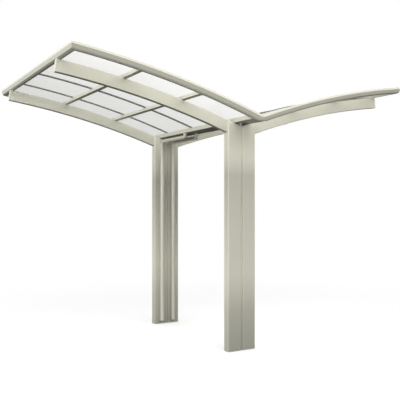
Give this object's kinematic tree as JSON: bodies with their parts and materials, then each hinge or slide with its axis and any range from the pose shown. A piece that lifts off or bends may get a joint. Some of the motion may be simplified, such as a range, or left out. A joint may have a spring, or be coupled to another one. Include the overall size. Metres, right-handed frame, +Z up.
{
  "type": "carport",
  "caption": "Back-to-back cantilever carport: curved beams on slim posts carry frosted roof sheets that drain to valley gutters and pipes.",
  "frame": {"origin": "on the ground, at the middle between the posts", "axes": "+X across the wings (longest), +Y along the gutters towards the posts with the drain pipes, +Z up"},
  "size_m": [3.8328, 2.457, 2.787],
  "materials": {
    "coated_aluminium": "satin champagne coating",
    "sheet": "frosted translucent",
    "drain_plastic": "satin",
    "cap_plastic": "satin"
  },
  "bodies": {
    "root": {"beam_cap_far_left": "cap_plastic", "beam_cap_far_right": "cap_plastic", "beam_cap_near_left": "cap_plastic", "beam_cap_near_right": "cap_plastic", "beam_far_left": "coated_aluminium", "beam_far_right": "coated_aluminium", "beam_near_left": "coated_aluminium", "beam_near_right": "coated_aluminium", "downpipe_left": "drain_plastic", "downpipe_right": "drain_plastic", "drain_run_left": "drain_plastic", "drain_run_right": "drain_plastic", "front_frame_left": "coated_aluminium", "front_frame_right": "coated_aluminium", "gutter_left": "coated_aluminium", "gutter_right": "coated_aluminium", "panel_1_left": "sheet", "panel_1_right": "sheet", "panel_2_left": "sheet", "panel_2_right": "sheet", "panel_3_left": "sheet", "panel_3_right": "sheet", "panel_4_left": "sheet", "panel_4_right": "sheet", "post_far_left": "coated_aluminium", "post_far_right": "coated_aluminium", "post_joiner_far": "coated_aluminium", "post_joiner_near": "coated_aluminium", "post_near_left": "coated_aluminium", "post_near_right": "coated_aluminium", "purlin_inner_left": "coated_aluminium", "purlin_inner_right": "coated_aluminium", "purlin_outer_left": "coated_aluminium", "purlin_outer_right": "coated_aluminium", "rafter_1_left": "coated_aluminium", "rafter_1_right": "coated_aluminium", "rafter_2_left": "coated_aluminium", "rafter_2_right": "coated_aluminium", "rafter_3_left": "coated_aluminium", "rafter_3_right": "coated_aluminium", "side_frame_far_left": "coated_aluminium", "side_frame_far_right": "coated_aluminium", "side_frame_near_left": "coated_aluminium", "side_frame_near_right": "coated_aluminium"}
  },
  "joints": []
}
